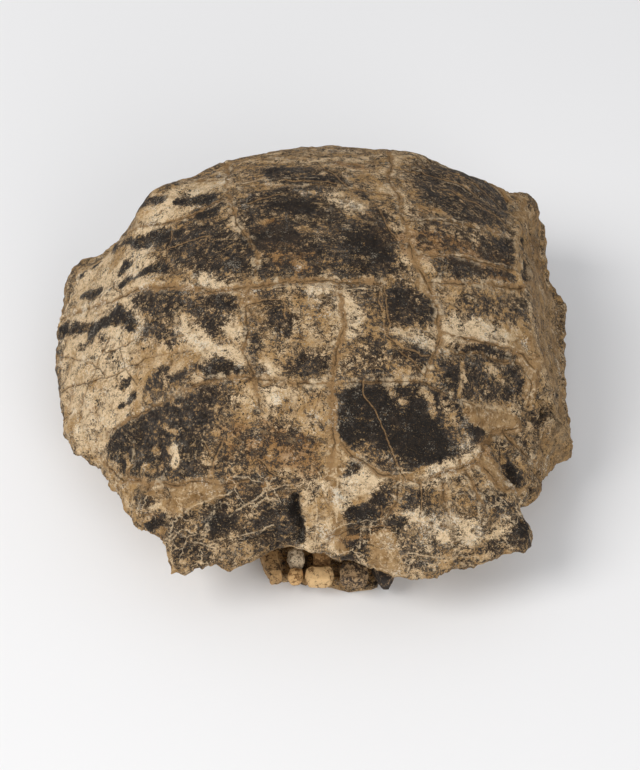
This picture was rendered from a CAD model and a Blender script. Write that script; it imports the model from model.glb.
import math
import time

import bpy
import numpy as np
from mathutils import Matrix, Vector, noise


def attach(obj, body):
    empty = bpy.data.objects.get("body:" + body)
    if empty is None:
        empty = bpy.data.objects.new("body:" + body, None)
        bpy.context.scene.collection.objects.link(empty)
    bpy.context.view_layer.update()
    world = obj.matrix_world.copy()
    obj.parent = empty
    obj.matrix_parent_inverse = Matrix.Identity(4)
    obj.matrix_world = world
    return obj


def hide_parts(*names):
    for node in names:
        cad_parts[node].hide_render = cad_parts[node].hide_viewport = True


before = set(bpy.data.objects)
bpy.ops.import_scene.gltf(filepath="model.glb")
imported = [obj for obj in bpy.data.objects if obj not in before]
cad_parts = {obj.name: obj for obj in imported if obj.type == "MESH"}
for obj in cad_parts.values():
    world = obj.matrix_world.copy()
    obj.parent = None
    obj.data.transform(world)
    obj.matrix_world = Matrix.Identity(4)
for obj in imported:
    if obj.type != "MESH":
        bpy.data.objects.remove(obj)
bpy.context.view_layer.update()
mm = 0.001
farOff = 50.0  # mm, further than any line reaches
started = time.time()
noise.seed_set(7)  # without a seed, noise_vector would take one from the clock


def report(text):
    print("%5.1f s  %s" % (time.time() - started, text))


def pickOnly(piece):
    bpy.ops.object.select_all(action="DESELECT")
    piece.select_set(True)
    bpy.context.view_layer.objects.active = piece


def applyModifier(piece, kind, **settings):
    pickOnly(piece)
    modifier = piece.modifiers.new(kind.lower(), kind)
    for name, value in settings.items():
        setattr(modifier, name, value)
    bpy.ops.object.modifier_apply(modifier=modifier.name)


def copyNode(nodeName, pieceName):
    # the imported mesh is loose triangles, so the copy is merged first
    piece = bpy.data.objects.new(pieceName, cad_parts[nodeName].data.copy())
    piece.data.name = pieceName
    piece.data.materials.clear()
    bpy.context.scene.collection.objects.link(piece)
    pickOnly(piece)
    bpy.ops.object.mode_set(mode="EDIT")
    bpy.ops.mesh.select_all(action="SELECT")
    bpy.ops.mesh.remove_doubles(threshold=0.00002)
    bpy.ops.object.mode_set(mode="OBJECT")
    return piece


def remesh(piece, voxel, smoothing):
    applyModifier(piece, "REMESH", mode="VOXEL", voxel_size=voxel * mm)
    applyModifier(piece, "SMOOTH", factor=0.5, iterations=smoothing)


def readPoints(piece):
    values = np.empty(len(piece.data.vertices) * 3, np.float32)
    piece.data.vertices.foreach_get("co", values)
    return values.reshape(-1, 3).astype(float) / mm


def writePoints(piece, points):
    piece.data.vertices.foreach_set("co", (points * mm).astype(np.float32).ravel())
    piece.data.update()
    bpy.context.view_layer.update()


def keepAboveFloor(piece, points):
    points[:, 2] = np.maximum(points[:, 2], 0.0)
    writePoints(piece, points)


def readNormals(piece):
    values = np.empty(len(piece.data.vertices) * 3, np.float32)
    piece.data.vertex_normals.foreach_get("vector", values)
    return values.reshape(-1, 3).astype(float)


def storeField(piece, name, values):
    field = piece.data.attributes.new(name, "FLOAT", "POINT")
    field.data.foreach_set("value", values.astype(np.float32))


def countTriangles(piece):
    return sum(len(polygon.vertices) - 2 for polygon in piece.data.polygons)


def shadeSmooth(piece):
    pickOnly(piece)
    bpy.ops.object.shade_smooth()


def smoothStep(low, high, value):
    share = np.clip((value - low) / (high - low), 0.0, 1.0)
    return share * share * (3.0 - 2.0 * share)


def ridge(away, width):
    # 1 on a line, and almost 0 from two widths away
    return np.exp(-(away / width) ** 2)


def lumps(points, size, seed, octaves=3):
    # fractal noise, about -1 to 1, one value for each point
    scaled = points / size + seed * 7.31
    values = [noise.fractal(Vector(p), 1.0, 2.0, octaves) for p in scaled.tolist()]
    return np.array(values)


def chips(points, size, seed):
    # small facets with ridges between them, taken about their middle height
    scaled = points / size + seed * 5.13
    return np.array([noise.voronoi(Vector(p))[0][0] for p in scaled.tolist()]) - 0.35


def wander(points, layers, seed):
    # moves every point a little, so that drawn lines come out uneven
    for index, (size, reach) in enumerate(layers):
        scaled = points / size + (seed + index) * 3.17
        points = points + reach * np.array([noise.noise_vector(Vector(p))
                                            for p in scaled.tolist()])
    return points


def onShell(piece, place):
    # a place given as (x, y) is dropped onto the shell from above, a little further in
    # where it would miss
    if len(place) == 3:
        return np.array(place, float)
    x, y = place
    for pull in (1.0, 0.985, 0.97, 0.95, 0.92):
        start = Vector((x * pull * mm, y * pull * mm, 0.4))
        hit, spot = piece.ray_cast(start, Vector((0, 0, -1)))[:2]
        if hit and spot.z > 0.03:
            break
    return np.array(spot) / mm


def lieOn(piece, line, step=7.0):
    # a line follows the shell with a point every few millimetres
    places = []
    for start, end in zip(line[:-1], line[1:]):
        span = math.dist(start[:2], end[:2]) if len(start) == 2 else math.dist(start, end)
        count = max(1, round(span / step))
        for index in range(count):
            share = index / count
            places.append(tuple(a + (b - a) * share for a, b in zip(start, end)))
    places.append(line[-1])
    return np.array([onShell(piece, place) for place in places])


def measure(points, line, reach):
    # distance from each point to the line, and on which side of it the point lies
    away = np.full(len(points), 1e3)
    side = np.zeros(len(points))
    for start, end in zip(line[:-1], line[1:]):
        low = np.minimum(start, end) - reach
        high = np.maximum(start, end) + reach
        near = np.nonzero(((points > low) & (points < high)).all(axis=1))[0]
        along = end - start
        length = max(float(along @ along), 1e-6)
        offset = points[near] - start
        share = np.clip(offset @ along / length, 0.0, 1.0)
        gap = offset - share[:, None] * along
        distance = np.sqrt((gap * gap).sum(axis=1))
        middle = 0.5 * (start + end)
        outward = np.array([middle[0], middle[1], 90.0])  # roughly the way the dome faces
        across = np.cross(along, outward)
        across /= max(np.linalg.norm(across), 1e-6)
        closer = distance < away[near]
        away[near[closer]] = distance[closer]
        side[near[closer]] = (gap @ across)[closer]
    return away, side


def nearestLine(piece, points, lines, reach):
    # distance to the nearest of many lines and the side of it; a weak line counts as further off
    nearest = np.full(len(points), farOff)
    nearestSide = np.full(len(points), farOff)
    for strength, *line in lines:
        away, side = measure(points, lieOn(piece, line), reach)
        away += (1.0 - strength) * shellSettings["seamWidth"]
        closer = away < nearest
        nearest[closer] = away[closer]
        nearestSide[closer] = side[closer]
    return nearest, nearestSide


# Lengths are in millimetres. A facing is how far up the surface faces, from -1 to 1.
shellSettings = {
    "voxel": 1.95,  # fine enough for the cracks
    "triangles": 190000,
    "smoothing": 4,
    "lineWander": ((9.0, 1.5), (3.2, 0.7)),  # size and reach of each layer of unevenness
    "paintWander": ((26.0, 6.0), (8.0, 2.6)),
    "lineReach": 7.0,
    "seamReach": 14.0,
    "seamWidth": 2.4,
    "seamDepth": 1.3,
    "seamLip": 0.8,
    "seamLipAway": 4.2,
    "crackWidth": 1.3,
    "crackDepth": 0.9,
    "veinWidth": 1.5,
    "veinHeight": 0.7,
    "rimWear": 3.2,
    "upperFacing": (-0.25, 0.1),  # only places that face up this far take plates and seams
    "upperHeight": (24.0, 34.0),
    "wallStart": (150.0, 172.0),  # the broken wall on the right
    "wallFacing": (0.62, 0.35),
    "belowFacing": (0.0, -0.4),
    "thinFacing": -0.35,  # the underside has its triangles thinned out
    "rim": (205.0, 204.0),  # half width and half depth at the rim
    # size, then height on the dome and how much is added on broken bone
    "broadLumps": (34.0, 0.9, 0.7),
    "middleLumps": (11.0, 0.5, 0.7),
    "facets": (13.0, 0.7, 2.2),
    "smallLumps": (4.5, 0.45),
    "smallFacets": (5.5, 0.6),
    "smallHeight": (0.7, 1.7),
    # amounts that the paint starts from, and what the wall and the underside are given
    "stainBase": 0.5,
    "creamBase": 0.47,
    "rustBase": 0.12,
    "wallStain": 0.22,
    "wallShare": 0.85,
    "wallCream": 0.45,
    "belowPaint": 0.30,
    "plateEdge": (-3.5, 4.0),  # where the colour of a plate fades out
    "stainContrast": 0.86,
}

# Places where the block bulges or is worn back: centre, radius, push.
nudges = {
    "rearLeftBrow": ((-120, 92), 62, (-2.0, 3.5, 3.5)),
    "rearBrowLeft": ((-78, 116), 40, (0.0, 3.0, 3.5)),
    "topSkyline": ((5, 100), 60, (0.0, -1.0, -1.2)),
    "rearBrowRight": ((76, 116), 50, (0.0, 3.5, 4.5)),
    "rearRightBrow": ((122, 106), 44, (1.5, 3.5, 5.0)),
    "rearRightBlock": ((178, 138, 85), 30, (4.0, 3.0, 3.0)),
    "rearLeftSkyline": ((-118, 66), 44, (-4.0, 3.0, 5.0)),
    "rearLeftStep": ((-170, 88, 98), 40, (6.5, -7.0, -6.5)),
    "rearLeftRim": ((-176, 108, 50), 46, (6.0, -7.0, -4.0)),
    "leftFrontRim": ((-184, -78, 48), 24, (-4.5, -1.5, -0.5)),
    "leftCorner": ((-166, -110, 50), 24, (0.5, 0.5, 0.0)),
    "leftFrontEdge": ((-147, -138, 50), 22, (3.0, 2.0, 1.0)),
    "rearRightSkyline": ((104, 84), 38, (0.0, 2.0, 3.5)),
    "leftNotch": ((-118, -180, 50), 22, (2.5, 3.0, 1.5)),
    "rightRimRear": ((195, 112, 48), 42, (-5.5, -2.0, 0.0)),
    "rightRimTip": ((203, 70, 33), 16, (1.0, 0.0, 0.0)),
    "rightRimFront": ((202, -20, 30), 42, (-2.5, 0.0, 0.0)),
    "rightLip": ((189, -76, 43), 26, (1.2, 0.0, 0.0)),
    "frontLeftRim": ((-58, -197, 50), 30, (0.0, -6.5, -6.5)),
    "frontLeftBlock": ((-92, -203, 48), 26, (-1.0, -4.0, -4.5)),
    "frontRightRim": ((72, -205, 47), 34, (0.0, -4.5, -4.0)),
    "frontRightRimEnd": ((108, -199, 46), 28, (0.0, -2.0, -2.5)),
    "notch": ((150, -163, 62), 15, (-7.5, 4.5, 0.0)),
    "lumpSide": ((158, -174, 48), 16, (-2.0, 1.0, 0.0)),
}

# Seams between the bony plates and grooves of the lost horn plates: how wide
# (1 is widest), then the places.
seams = {
    "leftGroove": [0.5, (-68, 86), (-68, 53), (-63, 31), (-58, 8), (-49, -8), (-42, -25),
        (-45, -42), (-52, -60), (-49, -82), (-52, -96), (-44, -113), (-40, -132)],
    "rightGroove": [0.8, (56, 119), (57, 89), (54, 62), (61, 43), (63, 19), (66, -3), (69, -22),
        (81, -42), (87, -60), (87, -82), (83, -97), (75, -112)],
    "midline": [0.9, (16, -51), (18, -72), (20, -85), (14, -100), (11, -119), (12, -150),
        (8, -166)],
    "rearCross": [0.8, (-197, 25), (-169, 3), (-147, -12), (-132, -18), (-103, -31), (-72, -46),
        (-37, -51), (-12, -50), (28, -49), (45, -47)],
    "rearCrossRight": [0.6, (77, -39), (104, -34), (135, -21), (163, -2)],
    "lensLeft": [0.55, (-160, -102), (-145, -104), (-120, -109), (-98, -111), (-78, -112),
        (-54, -114), (-35, -117), (-12, -119), (13, -120)],
    "lensRight": [0.35, (13, -120), (32, -120), (51, -119), (74, -116), (91, -119), (106, -116),
        (129, -104)],
    "lensLeftFoot": [0.6, (-158, -112), (-154, -128), (-141, -138), (-119, -155), (-96, -164),
        (-68, -167), (-47, -165)],
    "lensRightFoot": [0.7, (16, -150), (25, -156), (46, -165), (72, -166), (101, -153), (113, -145),
        (119, -132), (128, -117), (143, -108)],
    "ring": [1, (113, -145), (122, -150), (133, -156), (147, -150)],
    "marginal1": [0.5, (57, -169), (56, -176), (52, -181), (46, -188)],
    "marginal3": [0.6, (89, -164), (91, -172), (94, -180), (98, -184)],
    "marginal4": [0.5, (105, -153), (111, -161), (116, -169)],
    "marginal5": [0.5, (135, -113), (145, -118), (156, -122), (166, -118)],
    "marginal6": [0.4, (-132, -124), (-133, -134), (-138, -140)],
    "marginal7": [0.3, (-126, -153), (-127, -166)],
    "topCross": [0.35, (-65, 52), (-41, 51), (-13, 49), (11, 48), (34, 45), (58, 42)],
    "topCrossRight": [0.3, (65, 80), (87, 104)],
    "plateRear": [0.5, (66, 13), (79, 16), (99, 24), (120, 27), (143, 38)],
    "plateFront": [0.5, (71, -20), (87, -17), (94, -11), (106, -10), (122, -7), (150, 2)],
    "flankRear": [0.6, (-157, 66), (-139, 47), (-118, 35), (-95, 31), (-70, 40)],
    "flankTop": [0.5, (-111, 88), (-95, 78), (-68, 70)],
    "arc": [0.5, (87, -76), (104, -74), (122, -69), (139, -63), (152, -60), (158, -64)],
    "arcFoot": [0.4, (95, -90), (115, -80), (131, -74), (149, -66), (156, -72), (155, -85)],
    # behind the dome, where the same plates carry on down to the rear rim
    "rearLeft": [0.6, (-68, 86), (-74, 118), (-84, 150), (-88, 168)],
    "rearRight": [0.6, (56, 119), (58, 140), (64, 165), (66, 190)],
    "rearMiddle": [0.5, (-6, 120), (-10, 148), (-4, 196)],
    "rearHigh": [0.6, (-150, 86), (-112, 112), (-74, 120), (-30, 128), (14, 132), (57, 128),
        (98, 128), (140, 120), (168, 104)],
    "rearLow": [0.6, (-118, 132), (-84, 152), (-40, 166), (8, 170), (60, 168), (104, 162)],
    "rearFlankLeft": [0.4, (-112, 112), (-122, 132), (-126, 138)],
    "rearFlankRight": [0.4, (98, 128), (108, 152), (112, 178)],
}

# Thin brown or black cracks.
cracks = {
    "flank1": [(-200, -6), (-185, -29), (-172, -44), (-163, -54), (-158, -63)],
    "flank2": [(-175, -71), (-171, -66), (-168, -60), (-164, -51), (-155, -38)],
    "flank3": [(-156, -48), (-147, -52), (-137, -54), (-127, -57)],
    "flank4": [(-145, -53), (-142, -64), (-138, -74), (-131, -85)],
    "flank5": [(-193, -44), (-173, -59), (-153, -67), (-137, -70), (-119, -75), (-90, -86)],
    "flank6": [(-109, 23), (-111, 9), (-111, -5)],
    "flank7": [(-156, 13), (-150, -2), (-146, -10)],
    "flank8": [(-110, 6), (-97, 5), (-82, 5)],
    "flank9": [(-84, -93), (-85, -104), (-80, -108)],
    "lens": [(32, -120), (32, -127), (38, -134), (44, -142), (50, -151), (56, -159), (60, -165)],
    "spine1": [(45, -48), (43, -62), (46, -74), (48, -88), (54, -94), (59, -100), (66, -105),
        (72, -111)],
    "spine2": [(48, -51), (49, -66), (50, -84)],
    "spine3": [(49, -89), (58, -96), (67, -98), (77, -99)],
    "spine4": [(43, 29), (47, 14), (52, -1), (57, -9)],
    "top1": [(4, 80), (13, 65), (19, 53), (26, 44)],
    "top3": [(-23, 57), (-5, 54), (13, 51)],
    "top5": [(-50, 29), (-41, 33), (-27, 37)],
    "shoulder1": [(92, 106), (120, 96), (146, 80)],
    "shoulder2": [(80, 90), (112, 82), (140, 66)],
    "shoulder3": [(96, 66), (124, 60), (146, 50)],
    "gap1": [(14, -190), (25, -189), (39, -190), (47, -190)],
    "gap2": [(45, -181), (45, -187)],
    "marginal2": [(72, -168), (72, -177), (72, -185), (74, -190)],
    "centre1": [(-50, -64), (-39, -62), (-25, -64), (-23, -76)],
    "centre2": [(2, -126), (-2, -134), (4, -143)],
    "centre3": [(-78, -148), (-73, -156), (-78, -164)],
    "centre4": [(-66, -146), (-71, -154), (-75, -162)],
    "centre5": [(-40, -157), (-34, -162), (-24, -164)],
    "scratch": [(135, -113), (147, -120), (158, -127), (163, -127)],
    "rear1": [(-40, 128), (-52, 150), (-44, 172)],
    "rear2": [(20, 136), (34, 156), (28, 180)],
    "rear3": [(-140, 96), (-132, 112), (-136, 122)],
    "rear4": [(120, 130), (134, 140), (150, 142)],
}

# Thin pale veins of lime that stand up from the surface.
veins = {
    "shelf1": [(-95, -181), (-82, -176), (-71, -173), (-59, -170)],
    "shelf2": [(-73, -190), (-56, -188), (-44, -185), (-33, -183)],
    "shelf3": [(-67, -194), (-56, -191), (-46, -188), (-37, -184)],
    "shelf4": [(-60, -180), (-47, -175), (-36, -170), (-23, -167), (-14, -168)],
    "shelf5": [(-107, -187), (-89, -193), (-77, -192), (-64, -194)],
    "neck": [(2, -166), (0, -178), (0, -190)],
    "top": [(-61, 57), (-46, 60), (-28, 60), (0, 58)],
    "rearCross": [(-30, -55), (-8, -54), (9, -57), (40, -54)],
    "gap": [(10, -187), (25, -186), (40, -187), (50, -186)],
    "arc": [(90, -78), (112, -70), (139, -61), (154, -58)],
    "rim1": [(120, -196), (104, -196), (84, -200), (66, -201)],
    "lens": [(62, -166), (74, -168), (92, -162)],
    "marginal": [(101, -160), (111, -168), (113, -178)],
    "plateFront": [(88, -15), (106, -8), (124, -5), (140, 3)],
    "plateRear": [(80, 18), (99, 26), (120, 29)],
    "shoulder": [(98, 80), (122, 74), (144, 62)],
    "lump": [(14, -163), (16, -175), (14, -184)],
}

# Paint is laid on in strokes, each over the last: amount, radius, then the places it passes.
# stain is how much of the bone is dark: the broad ground first, then plates, then spots.
stainGround = [
    (0.08, 40, (-176, 28), (-169, -31), (-169, -73), (-152, -96)),
    (0.08, 32, (-150, 23), (-138, -38), (-137, -66)),
    (0.10, 17, (-128, -77), (-90, -84)),
    (0.12, 18, (-127, 47), (-85, 61)),
    (0.38, 14, (-56, 114), (10, 103), (49, 108)),
    (0.60, 9, (-63, 24), (-56, 2)),
    (0.40, 12, (69, 2), (88, -8)),
    (0.70, 10, (36, -61), (36, -117)),
    (0.45, 17, (97, -51), (152, -23)),
    (0.20, 13, (-170, -92), (-152, -128), (-122, -168)),
    (0.55, 14, (-57, -147), (-19, -152)),
    (0.64, 12, (-111, -160), (-71, -160)),
    (0.60, 8, (-128, -154), (-112, -170)),
    (0.60, 14, (-110, -176), (-60, -176)),
    (0.60, 10, (-60, -190), (-20, -189)),
    (0.55, 24, (62, -182), (115, -180)),
    (0.60, 14, (70, -200), (118, -194)),
    (0.55, 14, (132, -126), (172, -108)),
    (0.50, 10, (164, -127), (175, -97)),
    (0.20, 14, (16, -189), (12, -158)),
    (0.90, 22, (-44, 146), (8, 150), (44, 150)),
    (0.85, 18, (90, 150), (128, 138)),
    (0.30, 14, (-116, 104), (-90, 130)),
    (0.85, 10, (-104, 132), (-92, 142)),
    (0.20, 8, (-22, 172), (20, 178)),
    (0.25, 7, (70, 140), (84, 160)),
]

# Bony plates and patches with a plain edge: how dark, then the outline seen from above.
plates = {
    "topPlate": [0.79, (-63, 31), (-41, 46), (-13, 48), (21, 45), (34, 43), (50, 17), (62, -27),
        (67, -36), (45, -44), (9, -47), (-30, -50), (-42, -43), (-47, -26), (-56, 2)],
    "topLeftPlate": [0.86, (-110, 24), (-87, 19), (-67, 19), (-59, 5), (-50, -13), (-45, -30),
        (-48, -37), (-70, -32), (-89, -25), (-106, -12), (-111, 9)],
    "topBand": [0.88, (-42, 82), (-13, 81), (14, 73), (25, 56), (10, 49), (-20, 52), (-41, 58)],
    "shoulderPlate": [0.84, (80, 106), (112, 122), (136, 120), (150, 108), (153, 88), (139, 44),
        (122, 32), (103, 25), (91, 25), (81, 37), (72, 63)],
    "platePale": [0.62, (68, 8), (91, 19), (118, 26), (120, 14), (105, -4), (82, -14), (75, -13)],
    "plateLow": [0.90, (87, -17), (106, -11), (120, -10), (122, -22), (102, -32), (87, -34),
        (80, -28)],
    "plateEdge": [0.88, (121, 17), (149, 39), (146, 14), (148, -7), (122, -24), (123, -9),
        (118, 4)],
    "spinePlate": [0.92, (49, -53), (61, -47), (74, -48), (84, -52), (85, -68), (70, -77),
        (55, -80), (49, -75)],
    "spineLow": [0.9, (50, -101), (58, -99), (78, -93), (83, -100), (75, -110), (62, -106)],
    "secondRibTop": [0.72, (105, -43), (134, -29), (157, -15), (158, -31), (133, -49), (110, -56)],
    "secondRib": [0.90, (88, -99), (100, -89), (145, -65), (153, -69), (152, -83), (133, -97),
        (109, -111), (90, -118), (87, -110)],
    "leftMiddle": [0.88, (-140, -18), (-123, -24), (-106, -29), (-87, -42), (-68, -48), (-55, -58),
        (-60, -70), (-72, -84), (-80, -74), (-87, -62), (-102, -58), (-122, -45), (-134, -33)],
    "centrePlate": [0.50, (-47, -72), (-35, -61), (-12, -63), (13, -61), (13, -93), (15, -118),
        (-1, -124), (-33, -116), (-48, -104), (-51, -89)],
    "leftSmooth": [1.0, (-80, -97), (-67, -97), (-54, -107), (-50, -112), (-64, -113),
        (-79, -110)],
    "lensRight": [1.22, (15, -125), (25, -122), (53, -119), (79, -117), (100, -119), (123, -117),
        (115, -135), (98, -148), (79, -159), (61, -165), (47, -160), (32, -157), (20, -153),
        (13, -147), (15, -135)],
    "lensLeft": [0.93, (-157, -108), (-146, -103), (-116, -110), (-87, -115), (-67, -116),
        (-68, -126), (-66, -136), (-75, -150), (-78, -162), (-106, -160), (-135, -142),
        (-150, -121)],
    "lensPale": [0.36, (-66, -118), (-47, -116), (-38, -125), (-43, -138), (-59, -146), (-69, -141),
        (-66, -131)],
    "underLens": [0.12, (62, -164), (79, -159), (98, -148), (116, -133), (118, -140), (108, -149),
        (90, -160)],
    "frontPlateD": [0.70, (-64, -161), (-40, -161), (-12, -165), (-17, -168), (-36, -169),
        (-50, -176), (-72, -176), (-67, -169)],
    "frontPlateA": [1.1, (-80, -178), (-67, -177), (-57, -180), (-58, -186), (-72, -188),
        (-80, -188)],
    "frontPlateB": [1.0, (-39, -176), (-24, -172), (-15, -178), (-13, -189), (-33, -188),
        (-54, -190), (-56, -186), (-44, -182)],
    "frontPlateC": [0.88, (-104, -192), (-89, -193), (-76, -194), (-90, -198), (-102, -202)],
    "blackPlateA": [1.2, (16, -179), (25, -177), (36, -179), (46, -183), (43, -187), (27, -187),
        (17, -184)],
    "blackPlateB": [1.2, (39, -173), (48, -172), (50, -177), (47, -181), (37, -179)],
    "heart": [1.15, (18, -192), (28, -192), (36, -194), (32, -198), (25, -197), (19, -195)],
    "grainyPlate": [0.34, (-12, -174), (2, -174), (4, -192), (-11, -190)],
    "slatePlate": [1.1, (50, -186), (60, -183), (64, -189), (55, -194)],
    "cornerLump": [0.98, (139, -174), (151, -168), (153, -178), (145, -185), (138, -186)],
    "creamPatch": [-0.15, (9, -171), (16, -167), (25, -158), (43, -163), (47, -167), (34, -176),
        (20, -180), (12, -176)],
    "smoothTan": [-0.1, (105, -118), (133, -97), (147, -94), (145, -107), (128, -114),
        (112, -123)],
    "creamBand": [0.0, (91, -66), (118, -56), (133, -54), (157, -41), (157, -47), (133, -61),
        (102, -75), (91, -77)],
    "frontTan": [-0.1, (-102, -164), (-78, -167), (-71, -170), (-78, -177), (-96, -179),
        (-102, -171)],
    "marginA": [0.72, (55, -173), (72, -169), (85, -169), (84, -181), (65, -186), (55, -182)],
    "marginB": [0.68, (108, -157), (130, -159), (141, -160), (134, -175), (115, -177),
        (105, -169)],
}

stainSpots = [
    (0.45, 7, (10, 36), (21, 25), (33, 18)),
    (0.55, 5, (-12, -1), (2, -6)),
    (0.50, 4, (-34, -26), (-12, -34)),
    (1.25, 8, (-49, -8), (-19, -9)),
    (1.20, 7, (-30, 22), (-8, 20)),
    (1.20, 8, (30, -12), (48, -22)),
    (0.22, 3.5, (-81, -30), (-66, -45)),
    (0.10, 4, (-61, -73), (-57, -78)),
    (0.30, 5, (72, -185), (90, -189), (108, -190)),
    (1.60, 3.2, (-15, -174), (-12, -185), (-11, -191)),
    (0.80, 6, (-43, -93), (-43, -97)),
    (0.62, 9, (-68, -122), (-66, -136), (-76, -156)),
    (1.15, 4, (-123, -171), (-111, -177)),
    (0.85, 3, (154, -89, 94), (164, -94, 81), (173, -82, 82), (182, -49, 69)),
    (1.00, 4.5, (160, 55, 131), (161, 32, 129), (158, 8, 135)),
    (0.05, 3.5, (154, 61, 138), (147, 24, 148), (146, 3, 148), (153, -7, 140)),
    (0.75, 3, (149, 112, 120), (155, 82, 129)),
    (0.90, 7, (-37, -67), (-24, -84)),
    (0.80, 7, (-12, -109), (6, -106)),
    (0.85, 8, (-120, -54), (-102, -72)),
    (1.00, 4, (102, -84), (145, -64)),
    (0.95, 5, (16, -166), (25, -161)),
    (0.95, 5, (25, -187), (40, -188)),
    (1.10, 5, (140, -128), (143, -138)),
    (0.80, 5, (123, -192), (134, -185)),
    (1.15, 5, (-136, 70), (-120, 59)),
    (1.15, 5, (-105, 53), (-80, 46)),
    (1.10, 5, (-89, 33), (-75, 32)),
    (1.1, 4.5, (-158, 58), (-139, 31)),
    (1.1, 5.5, (-135, 30), (-114, 20)),
    (1.1, 4.5, (-149, 18), (-143, 17)),
    (1.1, 5, (-126, -3), (-112, -10)),
    (1.1, 4.5, (-147, 2), (-140, -2)),
    (1.1, 4, (-136, -4), (-126, -8)),
    (1.1, 4, (-183, 56), (-172, 51)),
    (1.1, 4, (-183, 27), (-166, 15)),
    (1.2, 6, (-200, 16), (-170, -16)),
    (1.2, 5.5, (-170, -19), (-148, -28)),
    (1.2, 6.5, (-147, -24), (-136, -43)),
    (1.0, 3.5, (-148, -74), (-138, -77)),
    (1.0, 3.5, (-141, -92), (-132, -89)),
    (0.9, 4.5, (-123, -95), (-110, -90)),
    (0.85, 4.5, (-111, -96), (-84, -99)),
    (0.75, 3, (-180, -21), (-162, -34)),
    (0.30, 6, (-97, -61), (-86, -77)),
    (0.28, 4.5, (-82, -79), (-73, -87)),
    (0.12, 5, (-67, -91), (-52, -102)),
    (0.05, 4.5, (-60, -73), (-56, -80)),
    (0.20, 3, (-81, -34), (-75, -42)),
    (0.15, 3, (-63, 16), (-58, 4)),
    (-0.05, 4.5, (-36, -108), (-29, -112)),
    (0.05, 4, (-33, -131), (-30, -135)),
    (0.05, 4, (-10, -139), (-5, -144)),
    (0.15, 6, (19, -63), (25, -79)),
    (0.32, 10, (-30, -130), (-14, -132)),
    (0.25, 6, (22, 38), (35, 26)),
    (0.25, 5, (43, 52), (60, 46)),
    (0.10, 4, (64, 16), (69, 0)),
    (0.30, 6, (68, 32), (90, 29)),
    (0.10, 3.5, (77, -26), (82, -31)),
    (0.12, 5, (57, -85), (80, -88)),
    (0.20, 3, (102, -92), (101, -114)),
    (0.15, 3, (123, -85), (138, -84)),
    (0.25, 3.6, (52, -121), (60, -130)),
    (0.25, 3.6, (74, -125), (81, -131)),
    (0.66, 10, (94, -126), (104, -138)),
    (0.60, 7, (30, -154), (58, -160)),
    (-0.1, 4.2, (-104, -142), (-100, -150)),
    (0.05, 3, (-123, -143), (-117, -150)),
    (0.10, 2, (-109, -128), (-101, -133)),
    (0.15, 2.2, (-118, -134), (-114, -139)),
    (0.12, 3.4, (-138, -128), (-134, -137)),
    (-0.05, 8, (-170, -68), (-151, -76)),
    (0.02, 9, (48, -197), (50, -203)),
    (0.10, 4, (99, -184), (109, -185)),
    (0.10, 4, (120, -145), (138, -153), (150, -148)),
    (0.10, 4, (64, -163), (85, -160)),
    (0.12, 4, (-102, -173), (-107, -170)),
    (0.40, 7, (2, -134), (4, -162)),
    (0.10, 3, (-10, -55), (9, -58)),
]

# cream is how pale the light parts are, against tan.
creamStrokes = [
    (0.75, 36, (-182, 25), (-180, -21), (-160, -85)),
    (0.85, 26, (-140, 8), (-146, -39)),
    (0.90, 10, (-98, -66), (-77, -86), (-54, -102)),
    (0.95, 8, (10, 36), (21, 25), (33, 18)),
    (0.95, 7, (-61, -73), (-57, -78)),
    (0.90, 7, (-81, -30), (-66, -45)),
    (0.95, 8, (72, -185), (90, -189), (108, -190)),
    (1.00, 6, (-36, -111), (-31, -130)),
    (0.80, 10, (20, -67), (25, -81)),
    (1.00, 8, (95, -69), (133, -60)),
    (1.00, 9, (18, -174), (25, -169), (39, -167)),
    (1.00, 6, (-102, -141), (-101, -149)),
    (1.00, 8, (-172, -79), (-168, -85)),
    (1.00, 5, (-8, -56), (9, -59)),
    (0.90, 9, (76, -164), (109, -143)),
    (0.80, 18, (-127, 43), (-85, 61)),
    (0.80, 14, (62, -195), (73, -201)),
    (0.90, 8, (101, -182), (115, -185)),
    (0.90, 7, (59, -87), (80, -89)),
    (0.70, 14, (130, -178), (146, -157)),
    (0.60, 14, (-5, -172), (-3, -190)),
    (0.80, 14, (-22, 172), (20, 178)),
    (0.70, 20, (-120, 110), (-100, 130)),
]

# rust is orange or brown iron staining.
rustStrokes = [
    (0.9, 8, (18, 89), (31, 84)),
    (0.8, 14, (68, -7), (136, -5)),
    (0.7, 18, (-54, -147), (-12, -156)),
    (0.6, 12, (-119, -172), (-112, -179)),
    (0.7, 8, (13, -189), (48, -192)),
    (0.6, 12, (-64, -169), (-22, -166)),
    (0.6, 4, (52, -138), (54, -143)),
    (0.7, 8, (116, -131), (124, -139)),
    (0.5, 10, (76, 23), (92, 35)),
    (0.5, 16, (150, 110), (180, 140)),
    (0.7, 16, (-34, -6), (-12, -32)),
    (0.5, 10, (-55, -54), (-39, -71)),
    (0.6, 12, (39, 15), (49, -10)),
    (0.5, 12, (-188, -55), (-160, -95)),
    (0.5, 24, (-30, 150), (30, 140)),
]

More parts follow.
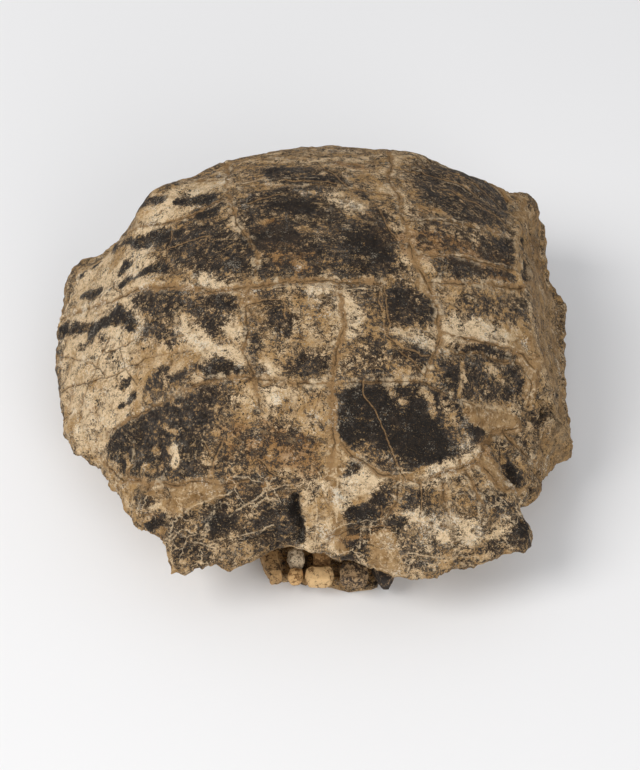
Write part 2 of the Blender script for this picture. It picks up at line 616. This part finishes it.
# rock is smooth tan rock that shows between the plates.
rockStrokes = [
    (1.0, 8, (109, -119), (142, -105)),
    (1.0, 9, (-100, -170), (-75, -170)),
    (1.0, 9, (48, -196), (50, -203)),
    (1.0, 6, (123, -145), (137, -153), (148, -150)),
    (0.6, 8, (-54, -55), (-39, -71)),
    (0.7, 7, (13, -164), (16, -193)),
    (0.8, 5, (74, -40), (81, -49)),
    (0.6, 6, (-143, -137), (-107, -167)),
    (0.8, 5, (97, -155), (116, -143)),
    (0.9, 6, (155, 80), (163, 99)),
    (0.6, 4, (-38, -117), (-12, -119)),
    (0.9, 5, (145, -57), (157, -65), (157, -82)),
    (0.7, 6, (11, -146), (13, -162)),
    (0.9, 7, (157, -46, 124), (163, -55, 111), (155, -80, 102)),
    (0.8, 9, (161, 136, 106), (170, 115, 103)),
    (0.8, 4, (158, 66, 133), (149, 30, 146), (152, -4, 142), (166, 22, 113)),
]

# Dents are negative and swellings positive: height, radius, then the places.
reliefStrokes = [
    (-1.2, 22, (31, -139), (80, -136)),
    (-1.0, 20, (-133, -130), (-80, -137)),
    (1.2, 5, (-197, 30), (-169, 9), (-132, -12), (-103, -25)),
    (3.6, 4, (154, 61, 138), (147, 24, 148), (146, 3, 148), (153, -7, 140)),
    (-5.0, 6, (161, 55, 131), (162, 32, 129), (160, 8, 133)),
    (-2.5, 3, (149, 112, 120), (155, 82, 129)),
    (2.5, 5, (160, 128, 108), (175, 146, 87)),
    (-2.5, 4, (168, 130, 98), (178, 120, 84)),
    (1.5, 7, (155, 80), (163, 99)),
    (-5.0, 6, (-122, -172), (-110, -178)),
    (-6.0, 3, (-15, -172), (-13, -182), (-12, -191)),
    (2.4, 8, (-26, -174), (-22, -186)),
    (-2.0, 3, (-96, -184), (-74, -177), (-58, -173)),
    (-1.8, 3, (-78, -193), (-50, -190), (-34, -186)),
    (1.2, 4, (-88, -178), (-66, -175), (-50, -172)),
    (-2.6, 5, (14, -190), (40, -191), (50, -192)),
    (1.4, 7, (23, -195), (32, -198)),
    (1.6, 8, (48, -197), (50, -204)),
    (1.4, 8, (22, -182), (42, -181)),
    (-1.6, 3, (89, -166), (95, -181)),
    (1.2, 8, (18, -174), (36, -168)),
    (1.6, 8, (108, -119), (140, -105)),
    (-1.6, 4, (119, -132), (126, -118)),
    (1.0, 4, (92, -78), (122, -66), (150, -57)),
    (-1.4, 4, (100, -86), (146, -66)),
    (1.4, 12, (-5, -178), (-3, -190)),
    (1.8, 8, (147, -173), (143, -186)),
    (-1.2, 12, (-30, -128), (-10, -140)),
    (1.5, 10, (14, -164), (16, -186)),
    # the broken wall on the right
    (-3.5, 7, (167, 62, 114), (165, 44, 118)),
    (2.0, 6, (157, -46, 124), (163, -55, 111), (155, -80, 102)),
    (-6.0, 5, (169, -77, 91), (171, -83, 86)),
    (2.2, 3.5, (172, -66, 92), (175, -86, 77)),
    (-3.2, 3.5, (154, -89, 94), (164, -94, 81), (173, -82, 82), (182, -49, 69)),
    (-2.0, 3, (186, -46, 56), (178, -86, 70)),
    (-1.5, 6, (190, 60, 50), (186, 10, 60), (184, -30, 66)),
    (1.5, 6, (176, 90, 84), (178, 40, 86), (174, 0, 92)),
]


def insidePlate(points, outline):
    # how far each point lies inside an outline seen from above, negative outside
    away = np.full(len(points), 30.0)
    inside = np.zeros(len(points), bool)
    corners = np.array(outline, float)
    low, high = corners.min(axis=0) - 12.0, corners.max(axis=0) + 12.0
    near = np.nonzero(((points[:, :2] > low) & (points[:, :2] < high)).all(axis=1))[0]
    spots = points[near, :2]
    for start, end in zip(corners, np.roll(corners, -1, axis=0)):
        along = end - start
        share = np.clip((spots - start) @ along / float(along @ along), 0.0, 1.0)
        gap = spots - start - share[:, None] * along
        away[near] = np.minimum(away[near], np.hypot(gap[:, 0], gap[:, 1]))
        if start[1] != end[1]:
            crosses = (start[1] > spots[:, 1]) != (end[1] > spots[:, 1])
            meets = start[0] + along[0] * (spots[:, 1] - start[1]) / along[1]
            inside[near] ^= crosses & (spots[:, 0] < meets)
    return np.where(inside, away, -away)


def paintField(points, piece, strokes, base):
    # every stroke covers what is under it, with a soft edge
    field = base + np.zeros(len(points))
    for amount, radius, *line in strokes:
        away = measure(points, lieOn(piece, line), radius * 1.7 + 4.0)[0]
        soft = min(radius * 0.6, 6.0)
        cover = 1.0 - smoothStep(radius - soft, radius + soft, away)
        field += (amount - field) * cover
    return field


def shapeShell():
    options = shellSettings
    piece = copyNode("shell", "fossilShell")
    remesh(piece, options["voxel"], options["smoothing"])
    report("shell remeshed, %d points" % len(piece.data.vertices))

    points = readPoints(piece)
    shift = np.zeros_like(points)
    for place, radius, push in nudges.values():
        away = np.linalg.norm(points - onShell(piece, place), axis=1)
        shift += np.outer(1.0 - smoothStep(0.0, radius, away), push)
    writePoints(piece, points + shift)

    points = readPoints(piece)
    normals = readNormals(piece)
    facing = normals[:, 2]
    upper = smoothStep(*options["upperFacing"], facing)
    upper *= smoothStep(*options["upperHeight"], points[:, 2])
    wall = smoothStep(*options["wallStart"], points[:, 0])
    wall *= smoothStep(*options["wallFacing"], facing)
    below = smoothStep(*options["belowFacing"], facing)
    uneven = wander(points, options["lineWander"], 1)
    ragged = wander(points, options["paintWander"], 3)
    report("places made uneven")

    seamAway, seamSide = nearestLine(piece, uneven, seams.values(), options["seamReach"])
    fullCracks = [(1.0, *line) for line in cracks.values()]
    crackAway, crackSide = nearestLine(piece, uneven, fullCracks, options["lineReach"])
    fullVeins = [(1.0, *line) for line in veins.values()]
    veinAway, veinSide = nearestLine(piece, uneven, fullVeins, options["lineReach"])
    report("seams, cracks and veins placed")

    stain = paintField(ragged, piece, stainGround, options["stainBase"])
    relief = np.zeros(len(points))
    for index, (amount, *outline) in enumerate(plates.values()):
        depth = insidePlate(uneven, outline)
        stain += (amount - stain) * smoothStep(*options["plateEdge"], depth) * upper
        # every plate stands up by its own small step
        rise = 0.5 + 0.4 * math.cos(index * 2.4)
        relief += rise * smoothStep(-1.0, 1.6, depth) * upper
    stain += (options["wallStain"] - stain) * wall * options["wallShare"]
    middle = options["stainBase"]
    stain = paintField(ragged, piece, stainSpots, stain)
    stain = middle + (stain - middle) * options["stainContrast"]
    cream = paintField(ragged, piece, creamStrokes, options["creamBase"])
    rust = paintField(ragged, piece, rustStrokes, options["rustBase"])
    rock = paintField(uneven, piece, rockStrokes, 0.0)
    cream += (options["wallCream"] - cream) * wall
    stain += (options["belowPaint"] - stain) * below
    rust += (options["belowPaint"] - rust) * below
    report("paint laid on")

    for height, radius, *line in reliefStrokes:
        away = measure(uneven, lieOn(piece, line), radius * 1.6)[0]
        relief += height * (1.0 - smoothStep(radius * 0.3, radius * 1.5, away))
    # seams are sharp in some places and worn away in others
    worn = np.clip(0.55 + lumps(points, 22.0, 14) * 1.3, 0.1, 1.0)
    uneasy = seamAway + lumps(points, 12.0, 15) * 1.6
    lipAway = uneasy - options["seamLipAway"]
    relief -= options["seamDepth"] * worn * ridge(uneasy, options["seamWidth"])
    relief += options["seamLip"] * worn * ridge(lipAway, options["seamWidth"])
    relief -= options["crackDepth"] * ridge(crackAway, options["crackWidth"])
    relief += options["veinHeight"] * ridge(veinAway, options["veinWidth"])
    relief *= np.maximum(upper, wall)

    # broken bone round the rim, in front and below is coarser than the dome
    halfWidth, halfDepth = options["rim"]
    rimEdge = smoothStep(0.80, 0.98, np.hypot(points[:, 0] / halfWidth, points[:, 1] / halfDepth))
    front = smoothStep(-150.0, -178.0, points[:, 1])
    coarse = np.maximum(np.clip(rimEdge + front, 0.0, 1.0), 0.8 * below)
    for name, pattern, seed in (("broadLumps", lumps, 1), ("middleLumps", lumps, 2),
                                ("facets", chips, 5)):
        size, height, added = options[name]
        relief += pattern(points, size, seed) * (height + added * coarse)
    size, height = options["smallLumps"]
    small = lumps(points, size, 3, 2) * height
    size, height = options["smallFacets"]
    small += chips(points, size, 6) * height
    height, added = options["smallHeight"]
    relief += small * (height + added * coarse)
    points += normals * relief[:, None]

    # the broken rim is worn unevenly, in and out
    rim = rimEdge * smoothStep(18.0, 30.0, points[:, 2])
    wear = lumps(points * (1.0, 1.0, 0.5), 24.0, 8) * options["rimWear"]
    wear += lumps(points * (1.0, 1.0, 0.6), 9.0, 9, 3) * options["rimWear"] * 0.3
    outward = points[:, :2] / np.maximum(np.linalg.norm(points[:, :2], axis=1), 1.0)[:, None]
    points[:, :2] += outward * ((wear - 0.8) * rim)[:, None]
    keepAboveFloor(piece, points)
    report("relief sculpted")

    # what the material reads; flank, shoulder and front say which streaks and veins show
    x, y = points[:, 0], points[:, 1]
    fields = {
        "stain": stain,
        "cream": cream,
        "rust": rust,
        "rock": rock,
        "seamAway": np.minimum(seamAway, 20.0),
        "seamSide": np.clip(seamSide, -9.0, 9.0),
        "crackSide": np.clip(crackSide, -9.0, 9.0),
        "crackAway": np.minimum(crackAway, 9.0),
        "veinSide": np.clip(veinSide, -9.0, 9.0),
        "veinAway": np.minimum(veinAway, 9.0),
        "flank": smoothStep(-62.0, -100.0, x) * (1.0 - below),
        "shoulder": smoothStep(60.0, 82.0, x) * smoothStep(10.0, 34.0, y),
        "hollow": np.clip(0.5 - small, 0.0, 1.0),
        "front": smoothStep(-150.0, -166.0, y) * (1.0 - below),
        "wall": wall,
    }
    for name, values in fields.items():
        storeField(piece, name, values)

    # the underside needs fewer triangles than the outside
    thin = piece.vertex_groups.new(name="thin")
    for index in np.nonzero(facing < options["thinFacing"])[0].tolist():
        thin.add([index], 1.0, "REPLACE")
    triangles = countTriangles(piece)
    if triangles > options["triangles"]:
        applyModifier(piece, "DECIMATE", ratio=options["triangles"] / triangles,
                      vertex_group="thin", vertex_group_factor=10.0)
    piece.vertex_groups.clear()
    keepAboveFloor(piece, readPoints(piece))
    shadeSmooth(piece)
    report("shell finished, %d triangles" % countTriangles(piece))
    return piece


class Finish:
    # a material and short ways to add its nodes
    def __init__(self, name):
        self.material = bpy.data.materials.new(name)
        self.material.use_nodes = True
        self.tree = self.material.node_tree
        self.shader = self.tree.nodes["Principled BSDF"]
        self.place = self.add("ShaderNodeTexCoord").outputs["Object"]

    def add(self, kind, sockets=None, **settings):
        made = self.tree.nodes.new(kind)
        for name, value in settings.items():
            setattr(made, name, value)
        for name, value in (sockets or {}).items():
            if isinstance(value, bpy.types.NodeSocket):
                self.tree.links.new(value, made.inputs[name])
            else:
                made.inputs[name].default_value = value
        return made

    def field(self, name):
        return self.add("ShaderNodeAttribute", attribute_name=name).outputs["Fac"]

    def maths(self, operation, first, second=0.0, third=0.0):
        sockets = {0: first, 1: second, 2: third}
        return self.add("ShaderNodeMath", sockets, operation=operation).outputs[0]

    def times(self, first, second):
        return self.maths("MULTIPLY", first, second)

    def timesPlus(self, first, second, third):
        return self.maths("MULTIPLY_ADD", first, second, third)

    def vectorMaths(self, operation, sockets):
        return self.add("ShaderNodeVectorMath", sockets, operation=operation).outputs

    def around(self, value, *patterns):
        # adds patterns that vary about 0.5, each as (pattern, amount), so that they average out
        for pattern, amount in patterns:
            value = self.timesPlus(pattern, amount, self.maths("SUBTRACT", value, amount / 2))
        return value

    def mixValue(self, factor, first, second):
        return self.add("ShaderNodeMix", {"Factor": factor, "A": first, "B": second}).outputs[0]

    def fractal(self, size, detail=5.0, rough=0.6, place=None, bend=0.0):
        # size is the width of the largest spots, in millimetres
        sockets = {"Vector": place or self.place, "Scale": 1.0 / (size * mm), "Detail": detail,
                   "Roughness": rough, "Distortion": bend}
        return self.add("ShaderNodeTexNoise", sockets).outputs["Fac"]

    def streaked(self, direction, share, size, rough):
        # places are pressed together along a direction, so that spots there become streaks
        direction = tuple(Vector(direction).normalized())
        along = self.vectorMaths("DOT_PRODUCT", {0: self.place, 1: direction})["Value"]
        push = self.vectorMaths("SCALE", {0: direction, "Scale": along})["Vector"]
        push = self.vectorMaths("SCALE", {0: push, "Scale": -share})["Vector"]
        place = self.vectorMaths("ADD", {0: self.place, 1: push})["Vector"]
        return self.fractal(size, 6.0, rough, place)

    def network(self, size, reach):
        # lines that join up like mud cracks: how far from the nearest, as a share of size
        push = self.add("ShaderNodeTexNoise", {"Vector": self.place, "Scale": 1.4 / (size * mm),
                                               "Detail": 6.0, "Roughness": 0.65}).outputs["Color"]
        push = self.vectorMaths("SUBTRACT", {0: push, 1: (0.5, 0.5, 0.5)})["Vector"]
        sockets = {0: push, 1: (reach * mm,) * 3, 2: self.place}
        bent = self.vectorMaths("MULTIPLY_ADD", sockets)["Vector"]
        return self.add("ShaderNodeTexVoronoi", {"Vector": bent, "Scale": 1.0 / (size * mm)},
                        feature="DISTANCE_TO_EDGE").outputs["Distance"]

    def between(self, value, low, high):
        sockets = {"Value": value, "From Min": low, "From Max": high}
        return self.add("ShaderNodeMapRange", sockets, interpolation_type="SMOOTHSTEP").outputs[0]

    def line(self, side, outer, inner):
        # 1 where side is within inner of 0, falling to 0 at outer
        return self.between(self.maths("ABSOLUTE", side), outer, inner)

    def blend(self, factor, first, second, mode="MIX"):
        made = self.add("ShaderNodeMix", data_type="RGBA", blend_type=mode)
        for index, value in ((0, factor), (6, first), (7, second)):
            if isinstance(value, bpy.types.NodeSocket):
                self.tree.links.new(value, made.inputs[index])
            elif index == 0:
                made.inputs[index].default_value = value
            else:
                made.inputs[index].default_value = (*value, 1.0)
        return made.outputs[2]

    def lay(self, under, top, share, amount, mode="MIX"):
        # a colour over another, where share says and by no more than amount
        return self.blend(self.times(share, amount), under, top, mode)

    def bump(self, height):
        # height is in millimetres
        made = self.add("ShaderNodeBump", {"Height": height, "Distance": mm, "Strength": 1.0})
        self.tree.links.new(made.outputs["Normal"], self.shader.inputs["Normal"])

    def set(self, colour, roughness):
        self.tree.links.new(colour, self.shader.inputs["Base Color"])
        self.tree.links.new(roughness, self.shader.inputs["Roughness"])
        self.shader.inputs["Specular IOR Level"].default_value = 0.2


boneColours = {
    "charcoal": (0.015, 0.012, 0.010),
    "darkBrown": (0.052, 0.034, 0.021),
    "brown": (0.150, 0.088, 0.040),
    "slate": (0.072, 0.062, 0.053),
    "cream": (0.84, 0.645, 0.41),
    "tan": (0.46, 0.285, 0.122),
    "ochre": (0.27, 0.150, 0.055),
    "orange": (0.29, 0.14, 0.045),
    "rock": (0.46, 0.295, 0.140),
    "seam": (0.36, 0.215, 0.095),
    "crust": (0.84, 0.74, 0.58),
    "crackDark": (0.030, 0.018, 0.010),
    "wallGrey": (0.18, 0.13, 0.08),
    # the next three darken what is under them
    "grainShade": (0.86, 0.80, 0.72),
    "pitShade": (0.34, 0.28, 0.22),
    "hollowShade": (0.42, 0.33, 0.25),
}

# Where each tone starts and where it is full, on the scale of its own pattern.
boneLevels = {
    "brown": (0.32, 0.50),
    "dark": (0.46, 0.62),
    "deepest": (0.54, 0.98),
    "cream": (0.20, 0.90),
    "rust": (0.45, 0.80),
    "rock": (0.46, 0.70),
    "crust": (0.20, 0.29),
}

# Which way the streaks run, how far they are drawn out, their width in mm, and roughness.
boneStreaks = {
    "flank": ((0.53, -0.56, 0.63), 0.82, 6.0, 0.7),
    "top": ((1.0, -0.1, 0.0), 0.75, 6.0, 0.7),
    "shoulder": ((0.86, -0.48, -0.15), 0.86, 5.0, 0.7),
    "wall": ((0.15, 1.0, 0.3), 0.80, 6.0, 0.65),
}


def finishShell(piece):
    look = Finish("fossilBone")
    colours = boneColours
    levels = boneLevels
    cream = look.field("cream")
    wall = look.field("wall")
    hollow = look.field("hollow")
    seamAway = look.field("seamAway")

    broad = look.fractal(34.0, 8.0, 0.66, bend=0.4)
    mottle = look.fractal(14.0, 7.0, 0.7)
    patchy = look.fractal(9.0, 8.0, 0.72, bend=0.3)
    fine = look.fractal(2.6, 6.0, 0.75)
    grains = look.fractal(0.9, 3.0, 0.6)
    streaks = {name: look.streaked(*way) for name, way in boneStreaks.items()}
    streak = look.mixValue(look.field("flank"), streaks["top"], streaks["flank"])
    streak = look.mixValue(look.field("shoulder"), streak, streaks["shoulder"])

    # where the dark surface is
    level = look.around(look.field("stain"), (broad, 0.8), (patchy, 2.1), (fine, 1.9),
                        (grains, 1.1), (hollow, 0.3), (streak, 1.1))
    dark = look.between(level, *levels["dark"])

    # light parts
    tone = look.around(cream, (mottle, 3.0), (fine, 1.6))
    light = look.blend(look.between(tone, *levels["cream"]), colours["tan"], colours["cream"])
    ochreShare = look.between(look.fractal(7.0, 7.0, 0.7), 0.52, 0.68)
    light = look.lay(light, colours["ochre"], ochreShare, 0.65)
    wallTone = look.between(look.around(streaks["wall"], (fine, 0.6)), 0.38, 0.6)
    wallColour = look.blend(wallTone, colours["wallGrey"], colours["tan"])
    wallColour = look.blend(look.between(broad, 0.42, 0.62), wallColour, colours["ochre"])
    light = look.lay(light, wallColour, wall, 0.8)
    specks = look.timesPlus(look.fractal(12.0, 3.0, 0.6), 0.7, look.fractal(1.7, 4.0, 0.8))
    light = look.blend(look.between(specks, 0.93, 0.99), light, colours["charcoal"])
    sprays = look.around(streak, (look.fractal(3.4, 6.0, 0.75), 1.6), (broad, 1.2))
    light = look.blend(look.between(sprays, 0.74, 0.80), light, colours["charcoal"])
    light = look.lay(light, colours["grainShade"], grains, 0.35, "MULTIPLY")
    light = look.lay(light, colours["brown"], look.between(level, *levels["brown"]), 0.8)

    # dark parts, with small flecks where bare bone shows through
    deep = look.blend(look.between(mottle, 0.40, 0.62), colours["slate"], colours["darkBrown"])
    deep = look.blend(look.between(level, *levels["deepest"]), deep, colours["charcoal"])
    flecks = look.around(streak, (streak, 0.6), (look.fractal(1.7, 4.0, 0.75), 1.1), (patchy, 1.6))
    flecks = look.times(look.between(flecks, 0.64, 0.76), look.between(level, 1.25, 0.95))
    fleckColour = look.blend(look.between(patchy, 0.50, 0.72), colours["tan"], colours["cream"])
    deep = look.lay(deep, fleckColour, flecks, 0.75)
    deep = look.lay(deep, colours["ochre"], look.between(grains, 0.5, 0.8), 0.35)
    colour = look.blend(dark, light, deep)

    # orange and brown stains lie over both
    rustSpread = look.around(look.field("rust"), (look.fractal(10.0, 7.0, 0.7), 1.6))
    rustColour = look.blend(dark, colours["orange"], colours["darkBrown"])
    colour = look.lay(colour, rustColour, look.between(rustSpread, *levels["rust"]), 0.6)

    # smooth rock, then the fill of the seams
    rockColour = look.blend(look.between(patchy, 0.35, 0.65), colours["rock"], colours["ochre"])
    rockSpots = look.between(look.fractal(4.0, 6.0, 0.7), 0.5, 0.75)
    rockColour = look.blend(rockSpots, rockColour, colours["cream"])
    rockEdge = look.around(look.field("rock"), (broad, 1.4), (patchy, 2.2), (fine, 1.4))
    colour = look.blend(look.between(rockEdge, *levels["rock"]), colour, rockColour)
    seamEdge = look.around(seamAway, (broad, 5.0), (patchy, 9.0), (fine, 5.0))
    paleEdge = look.times(look.between(seamEdge, 6.5, 4.0), look.between(patchy, 0.5, 0.6))
    colour = look.lay(colour, colours["cream"], paleEdge, 0.6)
    seamTone = look.between(look.around(patchy, (fine, 0.8)), 0.35, 0.65)
    seamColour = look.blend(seamTone, colours["seam"], colours["ochre"])
    colour = look.lay(colour, seamColour, look.between(seamEdge, 3.6, 1.2), 0.92)
    seamLine = look.line(look.around(look.field("seamSide"), (fine, 2.2)), 0.75, 0.25)
    seamLine = look.times(seamLine, look.between(seamAway, 3.4, 2.4))
    seamLine = look.times(seamLine, look.between(look.fractal(20.0, 3.0), 0.42, 0.54))
    colour = look.lay(colour, colours["crackDark"], seamLine, 0.62)

    # thin cracks: a dark line with a pale edge on one side
    near = look.between(look.field("crackAway"), 3.0, 2.2)
    crackSide = look.around(look.field("crackSide"), (fine, 1.6))
    paleLine = look.times(look.line(look.maths("ADD", crackSide, 0.7), 0.9, 0.3), near)
    colour = look.lay(colour, colours["seam"], paleLine, 0.65)
    darkLine = look.times(look.line(crackSide, 0.5, 0.15), near)
    darkLine = look.times(darkLine, look.between(broad, 0.34, 0.50))
    colour = look.lay(colour, colours["crackDark"], darkLine, 0.7)

    # a thin pale crust in scattered spots, and the veins
    crust = look.around(look.times(cream, 0.16), (look.fractal(1.3, 4.0, 0.75), 1.0),
                        (look.fractal(16.0, 4.0, 0.65), 0.8))
    crust = look.times(look.between(crust, *levels["crust"]), look.timesPlus(dark, -0.45, 0.75))
    colour = look.blend(crust, colour, colours["crust"])
    vein = look.line(look.around(look.field("veinSide"), (fine, 2.6)), 0.75, 0.25)
    vein = look.times(vein, look.between(look.field("veinAway"), 3.0, 2.2))
    vein = look.times(vein, look.between(patchy, 0.42, 0.56))
    colour = look.lay(colour, colours["cream"], vein, 0.6)

    # a net of thin pale veins near the neck, and fine brown hairlines everywhere
    nearNeck = look.between(look.around(look.field("front"), (broad, 3.0)), 0.98, 1.12)
    net = look.times(look.between(look.network(19.0, 20.0), 0.034, 0.012), nearNeck)
    colour = look.lay(colour, colours["cream"], net, 0.6)
    hairlines = look.between(look.network(24.0, 22.0), 0.016, 0.006)
    hairlines = look.times(hairlines, look.between(broad, 0.46, 0.56))
    colour = look.lay(colour, colours["crackDark"], hairlines, 0.7)

    # dirt in the pits
    pits = look.around(0.5, (look.fractal(1.6, 5.0, 0.7), 1.6), (look.fractal(5.0, 5.0, 0.65), 1.2))
    pits = look.between(pits, 0.46, 0.16)
    colour = look.lay(colour, colours["pitShade"], pits, 0.7, "MULTIPLY")
    hollowShare = look.between(hollow, 0.55, 0.85)
    colour = look.lay(colour, colours["hollowShade"], hollowShare, 0.6, "MULTIPLY")
    look.set(colour, look.timesPlus(fine, 0.12, look.timesPlus(dark, -0.16, 0.82)))

    height = look.times(grains, 0.8)
    for pattern, rise in ((fine, 1.9), (patchy, 2.4), (pits, -0.35), (seamLine, -0.5),
                          (streaks["wall"], look.times(wall, 1.2)), (darkLine, -0.5)):
        height = look.timesPlus(pattern, rise, height)
    look.bump(height)
    piece.data.materials.append(look.material)


bits = {
    "gularSlab": dict(node="gular_slab", bump=0.9, light=(0.50, 0.31, 0.14),
                      dark=(0.09, 0.052, 0.026), darkShare=0.46, speck=0.5),
    "speckledLump": dict(node="speckled_lump", bump=0.9, light=(0.72, 0.58, 0.40),
                         dark=(0.13, 0.09, 0.055), darkShare=0.46, speck=0.7),
    "smallPebble": dict(node="small_pebble", bump=0.6, light=(0.70, 0.44, 0.20),
                        dark=(0.20, 0.10, 0.035), darkShare=0.46, speck=0.4),
    "longPebble": dict(node="long_pebble", bump=0.7, light=(0.74, 0.50, 0.25),
                       dark=(0.20, 0.11, 0.045), darkShare=0.44, speck=0.4),
    "squareBlock": dict(node="square_block", bump=0.7, light=(0.42, 0.24, 0.10),
                        dark=(0.12, 0.06, 0.022), darkShare=0.48, speck=0.4),
    "roughLump": dict(node="rough_lump", bump=1.2, light=(0.46, 0.31, 0.17),
                      dark=(0.06, 0.042, 0.030), darkShare=0.50, speck=0.6),
    "darkWedge": dict(node="dark_wedge", bump=0.9, light=(0.30, 0.20, 0.12),
                      dark=(0.04, 0.032, 0.027), darkShare=0.58, speck=0.5),
}

# What all the bits share, in millimetres.
bitSettings = {
    "voxel": 0.7,
    "smoothing": 4,
    "shift": (0.0, 2.0, 0.8),  # every bit sits this far from its solid
    "lumps": (7.0, 0.9),  # size, then height as a share of the bump
    "smallLumps": (2.6, 0.4),
    "grainShade": (0.7, 0.62, 0.5),
}


def makeBit(name, options):
    shared = bitSettings
    piece = copyNode(options["node"], name)
    remesh(piece, shared["voxel"], shared["smoothing"])
    points = readPoints(piece)
    shift = np.zeros(len(points))
    for seed, (size, height) in enumerate((shared["lumps"], shared["smallLumps"]), len(name) + 11):
        shift += lumps(points, size, seed) * options["bump"] * height
    points += readNormals(piece) * shift[:, None] + shared["shift"]
    keepAboveFloor(piece, points)
    shadeSmooth(piece)

    look = Finish(name + "Stone")
    spread = look.timesPlus(look.fractal(1.4, 4.0, 0.7), options["speck"],
                            look.fractal(5.0, 7.0, 0.7))
    edge = 1.0 - options["darkShare"] + options["speck"] * 0.5
    share = look.between(spread, edge - 0.06, edge + 0.06)
    colour = look.blend(share, options["light"], options["dark"])
    colour = look.lay(colour, shared["grainShade"], look.fractal(0.8, 3.0), 0.3, "MULTIPLY")
    look.set(colour, look.timesPlus(look.fractal(3.0), 0.25, 0.55))
    look.bump(look.timesPlus(look.fractal(1.2, 5.0, 0.7), 0.5 + options["bump"],
                             look.times(look.fractal(0.5, 2.0), 0.15)))
    piece.data.materials.append(look.material)
    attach(piece, "root")
    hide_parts(options["node"])
    return piece


shell = shapeShell()
finishShell(shell)
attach(shell, "root")
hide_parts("shell")
for bitName, bitOptions in bits.items():
    makeBit(bitName, bitOptions)
report("bits in the neck opening made")

studio = {
    "floorColour": (0.86, 0.86, 0.865),
    "floorShade": (0.84, 0.84, 0.845),
    "floorSize": 6.0,  # metres, as are aim, distance and the lamps below
    "floorPatches": 400.0,  # mm
    "world": 0.52,
    "worldColour": (0.955, 0.97, 1.0, 1.0),
    "aim": (0.00225, -0.01855, 0.045),
    "elevation": 47.0,
    "distance": 1.418,
    "lens": 85.0,
}

lamps = {
    "keyLeft": dict(at=(-2.4, -1.05, 2.85), size=2.3, power=84.0, colour=(1.0, 0.98, 0.955)),
    "fillFront": dict(at=(1.5, -3.5, 1.95), size=2.8, power=72.0, colour=(1.0, 0.99, 0.975)),
}


def makeFloor():
    bpy.ops.object.select_all(action="DESELECT")
    bpy.ops.mesh.primitive_plane_add(size=studio["floorSize"])
    floor = bpy.context.object
    floor.name = "paleFloor"
    look = Finish("palePaper")
    tone = look.fractal(studio["floorPatches"], 2.0, 0.5)
    colour = look.blend(tone, studio["floorColour"], studio["floorShade"])
    look.set(colour, look.timesPlus(tone, 0.05, 0.9))
    floor.data.materials.append(look.material)


def makeLamp(name, options):
    light = bpy.data.lights.new(name, "AREA")
    light.shape = "DISK"
    light.size = options["size"]
    light.energy = options["power"]
    light.color = options["colour"]
    lamp = bpy.data.objects.new(name, light)
    lamp.location = options["at"]
    lamp.rotation_euler = (-Vector(options["at"])).to_track_quat("-Z", "Y").to_euler()
    bpy.context.scene.collection.objects.link(lamp)


def makeCamera():
    tilt = math.radians(studio["elevation"])
    aim = Vector(studio["aim"])
    back = Vector((0.0, -math.cos(tilt), math.sin(tilt)))
    lens = bpy.data.cameras.new("camera")
    lens.lens = studio["lens"]
    lens.sensor_width = 36.0
    camera = bpy.data.objects.new("camera", lens)
    camera.location = aim + back * studio["distance"]
    camera.rotation_euler = (-back).to_track_quat("-Z", "Y").to_euler()
    bpy.context.scene.collection.objects.link(camera)
    bpy.context.scene.camera = camera


makeFloor()
for lampName, lampOptions in lamps.items():
    makeLamp(lampName, lampOptions)
makeCamera()
world = bpy.data.worlds.new("softRoom")
world.use_nodes = True
background = world.node_tree.nodes["Background"]
background.inputs["Color"].default_value = studio["worldColour"]
background.inputs["Strength"].default_value = studio["world"]
bpy.context.scene.world = world
bpy.context.scene.view_settings.view_transform = "Standard"
report("floor, lights and camera set")
